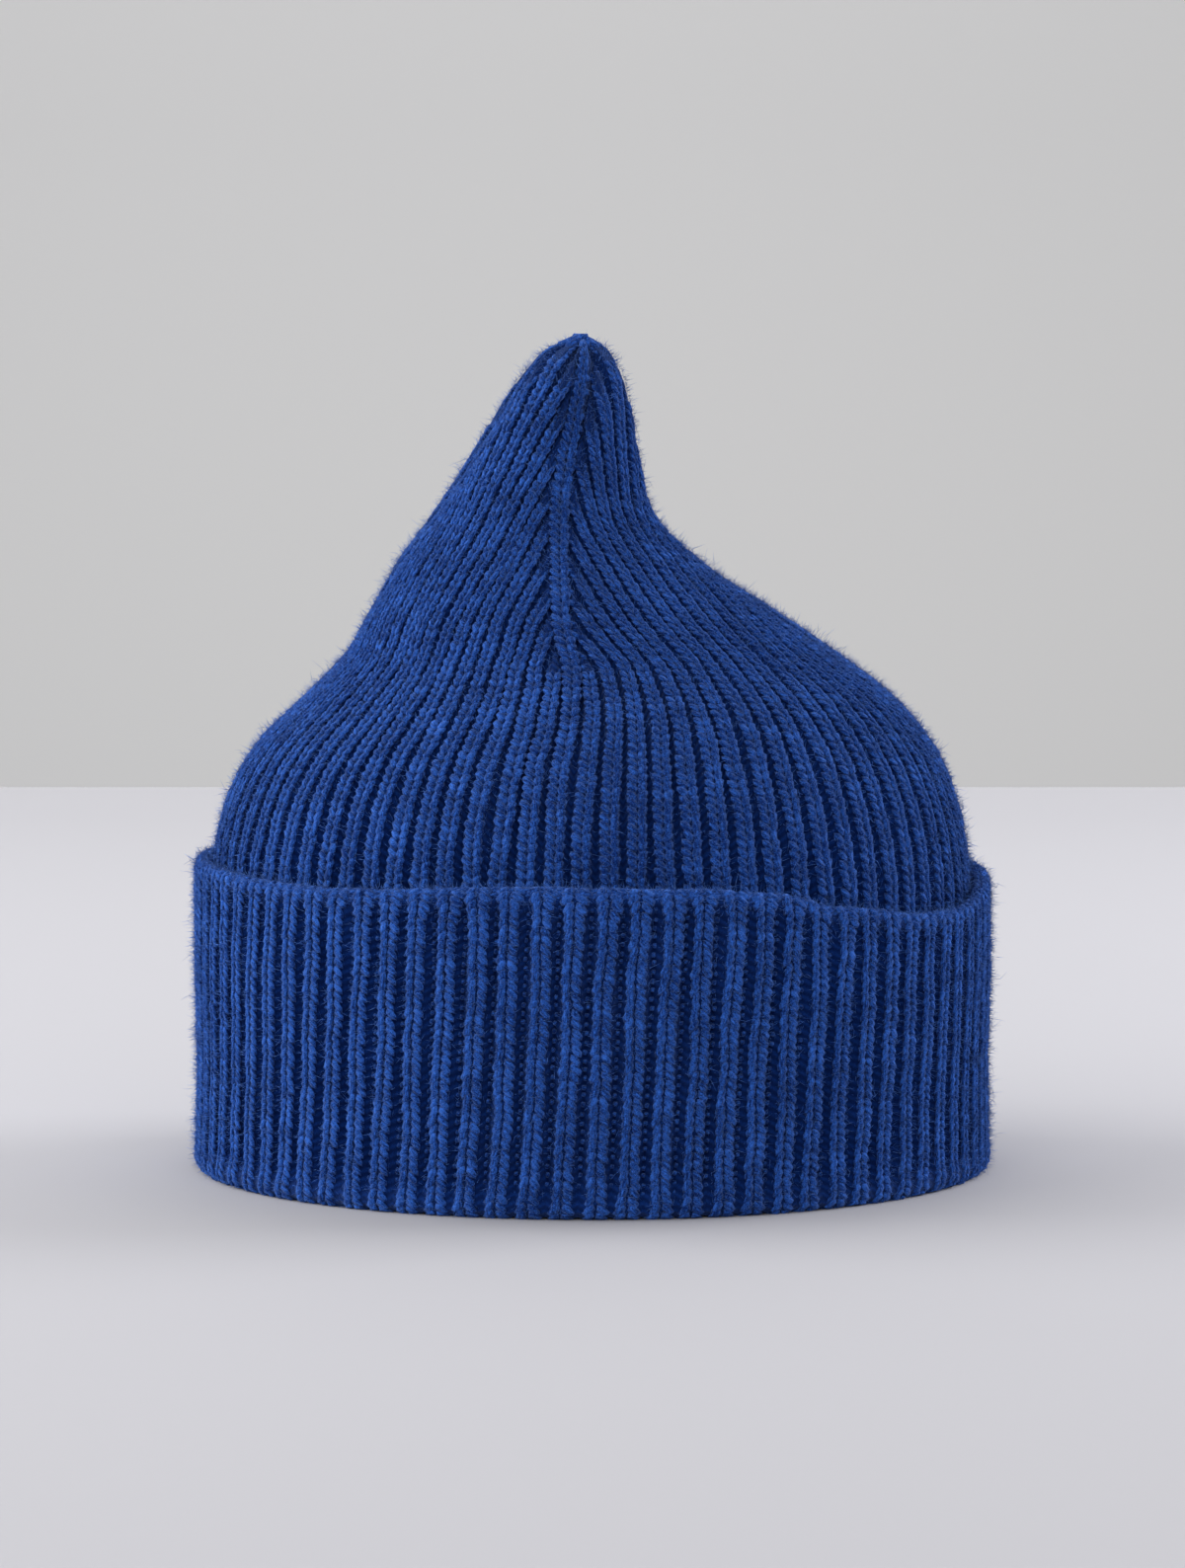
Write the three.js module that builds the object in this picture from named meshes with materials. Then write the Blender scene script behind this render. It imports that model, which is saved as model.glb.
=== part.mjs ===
// A rib-knit beanie that stands by itself: a hollow knitted crown that closes in four gores to a soft,
// leaning point, and the turned-up cuff that it rests on. Millimetres, +Z up, the hat's front towards -Y,
// the origin on the floor under the middle of the cuff.
import * as THREE from "three";

const RIBS = 80; // raised ribs round the hat, one knitted wale each
const GORES = 4; // decrease lines that close the crown, each with one rib running along it
const WALL = 4; // thickness of the knitted wall, from a rib's crest to the inside face
const RIB_RELIEF = 1.3; // how far the valley beside a rib lies under its crest
const CROWDING = 0.045; // how much closer the crown's ribs stand at the front and back than at the sides
const SEAT_GAP = 0.3; // clearance between the crown's lower edge and the fold that carries it
const FRONT_LINE_TURN = -5.5; // degrees from the front to the nearest decrease line, towards +X

const CUFF_HALF_WIDTH = 91.5; // over the crests, at the widest
const CUFF_HALF_DEPTH = 93.5;
const CUFF_WALL = 4;
const FOLD_REACH = 8.8; // how far the bottom fold reaches in under the crown's wall
const FOLD_HEIGHT = 4; // thickness of that fold
const RIM_PINCH = 1.6; // how far the rim leans in at the front and the back
const FOOT = FOLD_HEIGHT + SEAT_GAP; // height of the crown's lower edge
const CUFF_LEAN = 2.2; // degrees by which a rib of the cuff turns between the fold and the rim

const FIRST_DECREASE = 0.58; // share of the climb from fold to point where the gores begin to close
const DECREASE_STEP = 0.042; // share of the climb between one pair of lost ribs and the next
const DECREASES = 9; // lost ribs on each side of a line
const TIP_THICKNESS = 6.5; // gathered fabric under the very point
const TAU = 2 * Math.PI;

// The crown over its rib crests, a row for each level from the fold to the point. groove is the depth
// of the furrow along each decrease line, and lineTurn where the front line stands, in degrees.
const CROWN_LEVELS = [
  { height: FOOT, centreX: 0, centreY: 0, halfWidth: 87.1, halfDepth: 89.0, groove: 0, lineTurn: -5.5 },
  { height: 16, centreX: 0, centreY: 0, halfWidth: 87.1, halfDepth: 89.0, groove: 0, lineTurn: -5.5 },
  { height: 42, centreX: 0, centreY: 0, halfWidth: 86.8, halfDepth: 87.4, groove: 0, lineTurn: -5.5 },
  { height: 72, centreX: -0.3, centreY: 0, halfWidth: 86.6, halfDepth: 81.8, groove: 0, lineTurn: -5.5 },
  { height: 86, centreX: -0.1, centreY: 0, halfWidth: 83.4, halfDepth: 76.0, groove: 0, lineTurn: -5.5 },
  { height: 97, centreX: 0.5, centreY: 0, halfWidth: 77.8, halfDepth: 68.8, groove: 0, lineTurn: -5.5 },
  { height: 108, centreX: 1.4, centreY: 0.3, halfWidth: 67.8, halfDepth: 60.0, groove: 0.1, lineTurn: -5.5 },
  { height: 118, centreX: -0.3, centreY: 0.6, halfWidth: 56.6, halfDepth: 50.5, groove: 0.3, lineTurn: -4.8 },
  { height: 128, centreX: -4.8, centreY: 1.0, halfWidth: 46.8, halfDepth: 43.0, groove: 0.8, lineTurn: -2.9 },
  { height: 139, centreX: -9.8, centreY: 1.4, halfWidth: 35.8, halfDepth: 34.5, groove: 1.2, lineTurn: 3.9 },
  { height: 150, centreX: -11.1, centreY: 1.8, halfWidth: 26.3, halfDepth: 27.4, groove: 1.6, lineTurn: 8.0 },
  { height: 162, centreX: -8.8, centreY: 2.0, halfWidth: 20.8, halfDepth: 21.2, groove: 2.0, lineTurn: 9.0 },
  { height: 173, centreX: -6.4, centreY: 2.0, halfWidth: 16.3, halfDepth: 16.6, groove: 2.0, lineTurn: 11.0 },
  { height: 182, centreX: -4.6, centreY: 2.0, halfWidth: 12.0, halfDepth: 12.2, groove: 1.2, lineTurn: 13.0 },
  { height: 187.6, centreX: -3.6, centreY: 1.9, halfWidth: 7.3, halfDepth: 7.4, groove: 0.4, lineTurn: 13.0 },
  { height: 190, centreX: -2.6, centreY: 1.8, halfWidth: 0, halfDepth: 0, groove: 0, lineTurn: 13.0 },
];

// Height of the cuff's rim round the hat, which sags at the right of the front. turn is in degrees.
const CUFF_RIM = [
  { turn: -180, height: 71.0 },
  { turn: -90, height: 72.0 },
  { turn: -45, height: 71.0 },
  { turn: -8, height: 73.2 },
  { turn: 14, height: 72.6 },
  { turn: 24, height: 71.2 },
  { turn: 38, height: 66.8 },
  { turn: 54, height: 63.6 },
  { turn: 68, height: 63.4 },
  { turn: 92, height: 68.4 },
  { turn: 135, height: 71.4 },
];

// The cuff's wall in section: how far each corner lies in from the crests, the share of the rim's
// height that it stands at, what is added to that, and how much of the rib relief shows there.
const CUFF_OUTSIDE = [
  { inset: 1.6, share: 0, lift: 0, relief: 0 },
  { inset: 0.4, share: 0, lift: 1.2, relief: 0.5 },
  { inset: 0.1, share: 0, lift: 4.2, relief: 1 },
  { inset: 0.5, share: 0.35, lift: 0, relief: 1 },
  { inset: 0, share: 0.7, lift: 0, relief: 1 },
  { inset: 0.1, share: 1, lift: -3, relief: 1 },
  { inset: 0.5, share: 1, lift: -0.9, relief: 0.25 },
  { inset: 1.6, share: 1, lift: 0, relief: 0 },
];
const CUFF_INSIDE = [
  { inset: 2.9, share: 1, lift: 0, relief: 0 },
  { inset: CUFF_WALL - 0.1, share: 1, lift: -1.5, relief: 0 },
  { inset: CUFF_WALL, share: 0, lift: FOLD_HEIGHT, relief: 0 },
  { inset: FOLD_REACH, share: 0, lift: FOLD_HEIGHT, relief: 0 },
  { inset: FOLD_REACH - 0.2, share: 0, lift: 1.6, relief: 0 },
  { inset: FOLD_REACH - 2.2, share: 0, lift: 0, relief: 0 },
];

// Shares of the climb at which the crown's outside and inside faces have a ring of corners.
const CROWN_TUBE_RINGS = [0, 0.16, 0.28, 0.33, 0.37, 0.41, 0.45, 0.49, 0.53];
const CROWN_INSIDE_RINGS = [0.92, 0.87, 0.81, 0.74, 0.66, 0.58, 0.52, 0.46, 0.4, 0.34, 0.27, 0.16, 0];

// The point of a level at a share of the way round, counted from the front decrease line.
function levelPoint(level, round) {
  const crowded = TAU * round - CROWDING * Math.sin(2 * TAU * round);
  const angle = crowded + THREE.MathUtils.degToRad(level.lineTurn);
  const furrow = level.groove * ((1 + Math.cos(GORES * TAU * round)) / 2) ** 3;
  return new THREE.Vector3(
    level.centreX + Math.max(level.halfWidth - furrow, 0) * Math.sin(angle),
    level.centreY - Math.max(level.halfDepth - furrow, 0) * Math.cos(angle),
    level.height,
  );
}

// The line that a rib would climb at one share of the way round, from the fold to the point.
const climbs = new Map();
function climb(round) {
  const name = round.toFixed(6);
  if (!climbs.has(name)) {
    const points = CROWN_LEVELS.map((level) => levelPoint(level, round));
    climbs.set(name, new THREE.CatmullRomCurve3(points, false, "centripetal"));
  }
  return climbs.get(name);
}

// A point of the crown at a share of the way round and of the climb, some depth under the crests.
function crownPoint(round, rise, depth) {
  const beside = 0.002;
  const point = climb(round).getPointAt(rise);
  const across = climb(round + beside).getPointAt(rise).sub(climb(round - beside).getPointAt(rise));
  const outward = across.cross(climb(round).getTangentAt(rise)).normalize();
  return point.addScaledVector(outward, -depth);
}

// One course of the crown after some decreases. Crests have whole keys and valleys half keys, which a
// rib keeps all the way up, so the keys beside each line drop out as its ribs are lost.
function crownCourse(rise, decreases) {
  const perGore = RIBS / GORES;
  const live = perGore - 2 * decreases;
  const ring = [];
  for (let gore = 0; gore < GORES; gore += 1) {
    for (let half = 0; half < 2 * live; half += 1) {
      const step = half / 2;
      const key = gore * perGore + (half === 0 ? 0 : step + decreases);
      const depth = half % 2 === 1 ? RIB_RELIEF : 0;
      ring.push({ key, point: crownPoint((gore + step / live) / GORES, rise, depth) });
    }
  }
  return ring;
}

// One ring of the crown's smooth inside face, with a corner for every second rib.
function crownInsideRing(rise) {
  const ring = [];
  for (let key = 0; key < RIBS; key += 2) ring.push({ key, point: crownPoint(key / RIBS, rise, WALL) });
  return ring;
}

// Height of the cuff's rim at an angle from the front, eased between the rows of its table.
function rimHeight(angle) {
  const turn = ((THREE.MathUtils.radToDeg(angle) + 540) % 360) - 180;
  const next = CUFF_RIM.findIndex((row) => row.turn > turn);
  const before = CUFF_RIM[(next === -1 ? CUFF_RIM.length : next) - 1];
  const after = next === -1 ? { turn: 180, height: CUFF_RIM[0].height } : CUFF_RIM[next];
  const share = THREE.MathUtils.smoothstep(turn, before.turn, after.turn);
  return THREE.MathUtils.lerp(before.height, after.height, share);
}

// One ring of the cuff at a corner of its section. A knit rib of the crown turns over at the fold and
// shows as a valley on the cuff, so the cuff's crests stand half a rib further round.
function cuffRing(corner, keyStep) {
  const ring = [];
  for (let key = 0; key < RIBS; key += keyStep) {
    const start = (TAU * (key + 0.5)) / RIBS + THREE.MathUtils.degToRad(FRONT_LINE_TURN);
    const height = corner.share * rimHeight(start) + corner.lift;
    const climbed = height / rimHeight(start);
    const lean = CUFF_LEAN * (climbed - 0.5);
    const angle = start + THREE.MathUtils.degToRad(lean);
    const inset = corner.inset + (key % 1 ? RIB_RELIEF * corner.relief : 0);
    const point = new THREE.Vector3(
      (CUFF_HALF_WIDTH - inset) * Math.sin(angle),
      -(CUFF_HALF_DEPTH - RIM_PINCH * climbed ** 2 - inset) * Math.cos(angle),
      height,
    );
    ring.push({ key, point });
  }
  return ring;
}

// Triangles between two neighbouring rings, which may have different numbers of corners: the corner
// with the lower key goes first, so corners with the same key are always joined.
function zipRings(from, to) {
  const steps = (ring) => (ring.length > 1 ? ring.length : 0);
  const keyAfter = (ring, i) => (i < steps(ring) ? (ring[i + 1]?.key ?? RIBS) : Infinity);
  const triangles = [];
  let i = 0;
  let j = 0;
  while (i < steps(from) || j < steps(to)) {
    const a = from[i % from.length];
    const b = to[j % to.length];
    if (keyAfter(from, i) <= keyAfter(to, j)) {
      i += 1;
      triangles.push([a, from[i % from.length], b]);
    } else {
      j += 1;
      triangles.push([a, to[j % to.length], b]);
    }
  }
  return triangles;
}

// A closed skin from a run of rings that goes once round the wall's section.
function skinOf(rings, closesOnItself) {
  const geometry = new THREE.BufferGeometry();
  const corners = rings.flat();
  corners.forEach((corner, index) => (corner.index = index));
  const runs = closesOnItself ? [...rings, rings[0]] : rings;
  const triangles = runs.slice(1).flatMap((ring, i) => zipRings(runs[i], ring));
  geometry.setFromPoints(corners.map((corner) => corner.point));
  geometry.setIndex(triangles.flat().map((corner) => corner.index));
  geometry.computeVertexNormals();
  return geometry;
}

// The crown: inside face from under the point down to the lower edge, then up the ribbed outside.
function crownGeometry() {
  const point = climb(0).getPointAt(1);
  const under = point.clone().setZ(point.z - TIP_THICKNESS);
  const inside = CROWN_INSIDE_RINGS.map(crownInsideRing);
  const tube = CROWN_TUBE_RINGS.map((rise) => crownCourse(rise, 0));
  const gored = [];
  for (let lost = 0; lost <= DECREASES; lost += 1) {
    gored.push(crownCourse(FIRST_DECREASE + lost * DECREASE_STEP, lost));
  }
  return skinOf([[{ key: 0, point: under }], ...inside, ...tube, ...gored, [{ key: 0, point }]], false);
}

// The cuff: ribbed outside face up to the rim, smooth inside face down to the fold under the crown.
function cuffGeometry() {
  const outside = CUFF_OUTSIDE.map((corner) => cuffRing(corner, 0.5));
  const inside = CUFF_INSIDE.map((corner) => cuffRing(corner, 1));
  return skinOf([...outside, ...inside], true);
}

// Brushed wool, dyed royal blue.
function blueWool(colour) {
  return new THREE.MeshStandardMaterial({ color: colour, roughness: 0.95, metalness: 0, flatShading: true });
}

function piece(name, geometry, material) {
  const mesh = new THREE.Mesh(geometry, material);
  mesh.name = name;
  return mesh;
}

const beanie = new THREE.Group();
beanie.add(piece("crown", crownGeometry(), blueWool(0x2a4d99)));
beanie.add(piece("cuff", cuffGeometry(), blueWool(0x27488f)));

export default beanie;
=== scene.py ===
"""A rib-knit wool beanie with a turned-up cuff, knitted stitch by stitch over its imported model.

Lengths in the tables are millimetres of the finished hat and angles are degrees. A place on the cloth is
given by the share of the way round the hat, counted from the front decrease line towards +X, by the share
of the way up the cloth, and by the lift over the crests of the ribs.
"""

from __future__ import annotations

import logging
import math
from dataclasses import dataclass, field
from enum import Enum
from typing import Callable

import bmesh
import bpy
import numpy as np
from mathutils import Matrix, Vector


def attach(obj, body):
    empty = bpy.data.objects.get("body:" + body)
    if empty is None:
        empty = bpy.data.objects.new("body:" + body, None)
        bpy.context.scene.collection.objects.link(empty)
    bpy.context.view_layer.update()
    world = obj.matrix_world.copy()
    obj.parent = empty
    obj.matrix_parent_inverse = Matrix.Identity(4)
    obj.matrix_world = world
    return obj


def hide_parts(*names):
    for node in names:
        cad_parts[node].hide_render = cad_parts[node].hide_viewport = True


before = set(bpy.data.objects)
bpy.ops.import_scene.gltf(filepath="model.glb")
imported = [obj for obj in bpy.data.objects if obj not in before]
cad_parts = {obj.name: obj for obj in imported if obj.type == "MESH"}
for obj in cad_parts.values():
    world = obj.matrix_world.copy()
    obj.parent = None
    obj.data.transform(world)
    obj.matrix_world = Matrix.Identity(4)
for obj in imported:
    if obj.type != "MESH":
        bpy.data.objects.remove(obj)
LOG = logging.getLogger("beanie")

MM = 0.001
TAU = 2 * math.pi
RIBS = 80
GORES = 4
RIBS_PER_GORE = RIBS // GORES
QUARTERS = ("front_right", "back_right", "back_left", "front_left")
WALL = 4.0
FOLD_HEIGHT = 4.0
SEAT_GAP = 0.3
FRONT_LINE_TURN = -5.5
SAME_POINT = 1e-6


def place_mesh(name: str, mesh: bpy.types.Mesh) -> bpy.types.Object:
    """Puts a mesh into the scene.

    Args:
        name: the new object's name.
        mesh: its mesh.

    Returns:
        The object, at the origin.
    """
    piece = bpy.data.objects.new(name, mesh)
    bpy.context.collection.objects.link(piece)
    return piece


def place_form(name: str, form: bmesh.types.BMesh) -> bpy.types.Object:
    """Puts a finished bmesh into the scene and frees it.

    Args:
        name: the new object's name.
        form: the bmesh.

    Returns:
        The object, at the origin.
    """
    mesh = bpy.data.meshes.new(name)
    form.to_mesh(mesh)
    form.free()
    return place_mesh(name, mesh)


def smooth_step(low: float, high: float, value: np.ndarray) -> np.ndarray:
    """An eased ramp.

    Args:
        low: the value where the ramp leaves 0.
        high: the value where it reaches 1.
        value: where to read it.

    Returns:
        The ramp, from 0 to 1, with level ends.
    """
    share = np.clip((value - low) / (high - low), 0, 1)
    return share * share * (3 - 2 * share)


@dataclass(frozen=True)
class Level:
    """One level of the crown over its crests; groove is the furrow's depth along each decrease line."""

    height: float
    centre_x: float
    centre_y: float
    half_width: float
    half_depth: float
    groove: float
    line_turn: float


CROWN_LEVELS = (
    Level(4.3, 0, 0, 87.1, 89.0, 0, -5.5),
    Level(16, 0, 0, 87.1, 89.0, 0, -5.5),
    Level(42, 0, 0, 86.8, 87.4, 0, -5.5),
    Level(72, -0.3, 0, 86.6, 81.8, 0, -5.5),
    Level(86, -0.1, 0, 83.4, 76.0, 0, -5.5),
    Level(97, 0.5, 0, 77.8, 68.8, 0, -5.5),
    Level(108, 1.4, 0.3, 67.8, 60.0, 0.1, -5.5),
    Level(118, -0.3, 0.6, 56.6, 50.5, 0.3, -4.8),
    Level(128, -4.8, 1.0, 46.8, 43.0, 0.8, -2.9),
    Level(139, -9.8, 1.4, 35.8, 34.5, 1.2, 3.9),
    Level(150, -11.1, 1.8, 26.3, 27.4, 1.6, 8.0),
    Level(162, -8.8, 2.0, 20.8, 21.2, 2.0, 9.0),
    Level(173, -6.4, 2.0, 16.3, 16.6, 2.0, 11.0),
    Level(182, -4.6, 2.0, 12.0, 12.2, 1.2, 13.0),
    Level(187.6, -3.6, 1.9, 7.3, 7.4, 0.4, 13.0),
    Level(190, -2.6, 1.8, 0, 0, 0, 13.0),
)

# degrees from the front towards +X, and the rim's height there
CUFF_RIM = (
    (-180, 71.0),
    (-90, 72.0),
    (-45, 71.0),
    (-8, 73.2),
    (14, 72.6),
    (24, 71.2),
    (38, 66.8),
    (54, 63.6),
    (68, 63.4),
    (92, 68.4),
    (135, 71.4),
)

# how far in under the crests, the share of the rim's height, and the height over that
CUFF_SECTION = (
    (8.8, 0, 4.0),
    (8.6, 0, 1.6),
    (6.6, 0, 0),
    (1.8, 0, 0),
    (0.4, 0, 1.2),
    (0.1, 0, 4.2),
    (0.5, 0.35, 0),
    (0, 0.7, 0),
    (0.1, 1, -3),
    (0.5, 1, -0.9),
    (1.6, 1, 0),
    (2.9, 1, 0),
    (3.9, 1, -1.5),
    (4.0, 1, -16),
)

# loops along the rim: how far under it, how far over the crests, and how far round, in loops
EDGE_ROWS = (
    (2.9, -0.2, 0.0),
    (2.1, 0.05, 0.5),
    (1.3, 0.15, 0.2),
    (0.5, 0.1, 0.7),
    (-0.3, 0.1, 0.1),
    (-1.3, 0.45, 0.6),
    (-2.3, 0.7, 0.3),
)


@dataclass
class Cloth:
    """One face of the knitting as a fine net of points over its crests, evenly spaced up and round.

    Rows climb the cloth and columns go once round the hat.
    """

    points: np.ndarray
    normals: np.ndarray = field(init=False)
    girths: np.ndarray = field(init=False)
    length: float = field(init=False)

    def __post_init__(self) -> None:
        """Works out the outward directions, the girth and the length of the cloth."""
        climb = np.gradient(self.points, axis=0)
        ring = np.concatenate([self.points[:, -1:], self.points, self.points[:, :1]], axis=1)
        across = (ring[:, 2:] - ring[:, :-2]) / 2
        normals = np.cross(across, climb)
        size = np.linalg.norm(normals, axis=2, keepdims=True)
        self.normals = np.where(size > 1e-6, normals / np.maximum(size, 1e-9), np.array([0, 0, 1.0]))
        self.girths = np.linalg.norm(across, axis=2, keepdims=True) * self.points.shape[1]
        steps = np.linalg.norm(np.diff(self.points, axis=0), axis=2)
        self.length = float(steps.sum(axis=0).mean())

    def _read(self, net: np.ndarray, around: np.ndarray, climb: np.ndarray) -> np.ndarray:
        """Reads a net between its points.

        Args:
            net: values for each point of the cloth.
            around: shares of the way round.
            climb: shares of the way up.

        Returns:
            The values there.
        """
        rows, columns = net.shape[:2]
        row = np.clip(climb, 0, 1) * (rows - 1)
        column = (around % 1.0) * columns
        low = np.minimum(row.astype(int), rows - 2)
        left = column.astype(int) % columns
        right = (left + 1) % columns
        up = (row - low)[..., None]
        over = (column - np.floor(column))[..., None]
        below = net[low, left] * (1 - over) + net[low, right] * over
        above = net[low + 1, left] * (1 - over) + net[low + 1, right] * over
        return below * (1 - up) + above * up

    def at(self, around: np.ndarray, climb: np.ndarray, lift: np.ndarray | float) -> np.ndarray:
        """Points on or over the cloth.

        Args:
            around: shares of the way round.
            climb: shares of the way up.
            lift: millimetres over the crests.

        Returns:
            The points in metres, in the row frame.
        """
        normal = self._read(self.normals, around, climb)
        normal /= np.maximum(np.linalg.norm(normal, axis=-1, keepdims=True), 1e-9)
        lifted = normal * np.broadcast_to(lift, np.shape(climb))[..., None]
        return (self._read(self.points, around, climb) + lifted) * MM

    def girth(self, around: np.ndarray, climb: np.ndarray) -> np.ndarray:
        """Millimetres that one whole turn would take at the density of the cloth there."""
        return np.maximum(self._read(self.girths, around, climb)[..., 0], 4.0)


@dataclass
class CrownShape:
    """The hollow crown: its levels, its ribs and where the gores lose them."""

    crowding: float = 0.045
    first_decrease: float = 0.58
    decrease_step: float = 0.042
    decreases: float = 9.0
    far: float = 9.0
    course: float = 2.1
    steps: int = 60
    rows: int = 520
    columns: int = 960

    def cloth(self) -> Cloth:
        """Shapes the crown's outside face, climbing from the fold to the point.

        Returns:
            The cloth.
        """
        around = np.arange(self.columns) / self.columns
        turn = TAU * around - self.crowding * np.sin(2 * TAU * around)
        furrow = ((1 + np.cos(GORES * TAU * around)) / 2) ** 3
        rings = []
        for level in CROWN_LEVELS:
            angle = turn + math.radians(level.line_turn)
            wide = np.maximum(level.half_width - level.groove * furrow, 0)
            deep = np.maximum(level.half_depth - level.groove * furrow, 0)
            flat = np.full(self.columns, level.height, dtype=float)
            east = level.centre_x + wide * np.sin(angle)
            north = level.centre_y - deep * np.cos(angle)
            rings.append(np.stack([east, north, flat], 1))
        return Cloth(self._evenly(self._curved(np.stack(rings))))

    def _curved(self, rings: np.ndarray) -> np.ndarray:
        """Centripetal curves up through the levels.

        Args:
            rings: the levels' points, level by level.

        Returns:
            Rows of points, close together, on those curves.
        """
        ends = np.concatenate([2 * rings[:1] - rings[1:2], rings, 2 * rings[-1:] - rings[-2:-1]])
        gaps = np.linalg.norm(np.diff(ends, axis=0), axis=2, keepdims=True) ** 0.5
        gaps = np.maximum(gaps, 1e-4)
        rows = []
        for step in range(len(rings) - 1):
            a, b, c, d = ends[step : step + 4]
            before, own, after = gaps[step : step + 3]
            leave = ((b - a) / before - (c - a) / (before + own) + (c - b) / own) * own
            reach = ((c - b) / own - (d - b) / (own + after) + (d - c) / after) * own
            for t in np.linspace(0, 1, self.steps, endpoint=False):
                bend = 2 * b - 2 * c + leave + reach
                turn = -3 * b + 3 * c - 2 * leave - reach
                rows.append(b + leave * t + turn * t**2 + bend * t**3)
        return np.stack([*rows, rings[-1]])

    def _evenly(self, curves: np.ndarray) -> np.ndarray:
        """The same curves with their points evenly spaced along each.

        Args:
            curves: rows of points up the curves.

        Returns:
            The net of the cloth.
        """
        steps = np.linalg.norm(np.diff(curves, axis=0), axis=2)
        reach = np.concatenate([np.zeros((1, curves.shape[1])), np.cumsum(steps, axis=0)])
        net = np.empty((self.rows, curves.shape[1], 3))
        for column in range(curves.shape[1]):
            along = np.linspace(0, reach[-1, column], self.rows)
            for axis in range(3):
                net[:, column, axis] = np.interp(along, reach[:, column], curves[:, column, axis])
        return net

    def lost(self, climb: np.ndarray) -> np.ndarray:
        """Ribs lost so far on each side of a line."""
        return np.clip((climb - self.first_decrease) / self.decrease_step, 0, self.decreases)

    def live(self, climb: np.ndarray) -> np.ndarray:
        """Ribs that a gore still has there."""
        return RIBS_PER_GORE - 2 * self.lost(climb)

    def rib(self, gore: np.ndarray, place: np.ndarray, climb: np.ndarray) -> np.ndarray:
        """Where a rib runs.

        Args:
            gore: the gore's number.
            place: the rib's number in the gore at the fold; 0 runs along the line.
            climb: shares of the way up.

        Returns:
            The shares of the way round.
        """
        step = np.where(place == 0, 0, place - self.lost(climb))
        return (gore + step / self.live(climb)) / GORES

    def beside_line(self, place: np.ndarray, climb: np.ndarray) -> np.ndarray:
        """Ribs between this one and the nearest line, or a large number where no rib is lost yet."""
        step = place - self.lost(climb)
        near = np.minimum(step, self.live(climb) - step)
        return np.where((place == 0) | (self.lost(climb) <= 0), self.far, near)


@dataclass
class CuffShape:
    """The turned-up band: its size over the crests, its rim and the fold it stands on."""

    half_width: float = 91.5
    half_depth: float = 93.5
    rim_pinch: float = 1.6
    lean: float = 2.2
    course: float = 1.88
    corner: float = 1.6
    usual_rim: float = 71.0
    samples: int = 1600
    rows: int = 360
    columns: int = 480

    def rim_height(self, angle: np.ndarray) -> np.ndarray:
        """Height of the rim.

        Args:
            angle: angles from the front, in radians.

        Returns:
            The heights in millimetres.
        """
        turn = (np.degrees(angle) + 540) % 360 - 180
        table = [*CUFF_RIM, (180, CUFF_RIM[0][1])]
        height = np.zeros_like(turn)
        for (start, low), (stop, high) in zip(table, table[1:]):
            inside = (turn >= start) & (turn <= stop)
            height = np.where(inside, low + (high - low) * smooth_step(start, stop, turn), height)
        return height

    def _section(self) -> np.ndarray:
        """The wall's section from the fold's inner lip over the outside and the rim, rounded and evenly spaced.

        Returns:
            Rows of inset, share of the rim's height, and height over that.
        """
        corners = np.array(CUFF_SECTION, dtype=float)
        for _ in range(2):
            drawn = np.stack([corners[:, 0], corners[:, 1] * self.usual_rim + corners[:, 2]], 1)
            reach = np.concatenate([[0], np.cumsum(np.linalg.norm(np.diff(drawn, axis=0), axis=1))])
            along = np.linspace(0, reach[-1], self.samples)
            fine = np.stack([np.interp(along, reach, corners[:, axis]) for axis in range(3)], 1)
            width = max(3, int(self.corner / reach[-1] * self.samples))
            padded = np.pad(fine, ((width, width), (0, 0)), mode="reflect", reflect_type="odd")
            kernel = np.hanning(2 * width + 1)
            kernel /= kernel.sum()
            corners = np.stack([np.convolve(padded[:, axis], kernel, "valid") for axis in range(3)], 1)
        pick = np.linspace(0, len(corners) - 1, self.rows).round().astype(int)
        return corners[pick]

    def cloth(self) -> Cloth:
        """Shapes the cuff's face from the fold's inner lip, under it, up the outside and over the rim.

        Returns:
            The cloth.
        """
        around = np.arange(self.columns) / self.columns
        start = TAU * around + math.radians(FRONT_LINE_TURN)
        rim = self.rim_height(start)
        rings = []
        for inset, share, lift in self._section():
            height = np.maximum(share * rim + lift, 0)
            climbed = height / rim
            angle = start + np.radians(self.lean * (climbed - 0.5))
            wide = self.half_width - inset
            deep = self.half_depth - self.rim_pinch * climbed**2 - inset
            rings.append(np.stack([wide * np.sin(angle), -deep * np.cos(angle), height], 1))
        return Cloth(np.stack(rings))


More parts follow.
